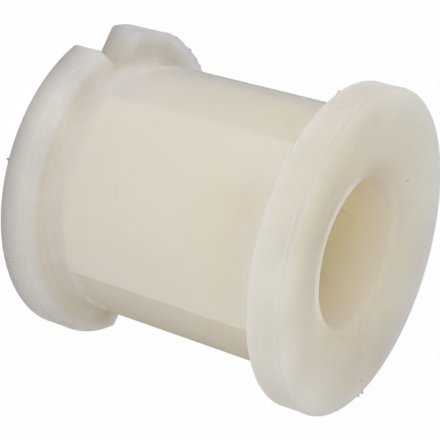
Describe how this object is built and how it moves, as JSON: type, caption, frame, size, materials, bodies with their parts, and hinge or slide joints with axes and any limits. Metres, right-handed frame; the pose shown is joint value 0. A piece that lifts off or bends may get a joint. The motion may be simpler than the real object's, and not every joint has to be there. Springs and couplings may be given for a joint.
{
  "type": "sway bar bushing",
  "caption": "Moulded spool-shaped sway bar bushing: a smooth through bore with rolled-in mouths, a round body between end flanges, and two opposite V notches in the rim of one flange.",
  "frame": {"origin": "centre of the notched end, on the plane of the flat ring that it stands on", "axes": "+Z along the bore from the notched flange to the plain one, -Y and +Y through the middles of the two V notches"},
  "size_m": [0.056, 0.056, 0.0546],
  "materials": {
    "nylon": "natural off-white nylon as moulded, satin on the body and duller on the flange rims, slightly translucent"
  },
  "bodies": {
    "root": {"bushing": "nylon"}
  },
  "joints": []
}
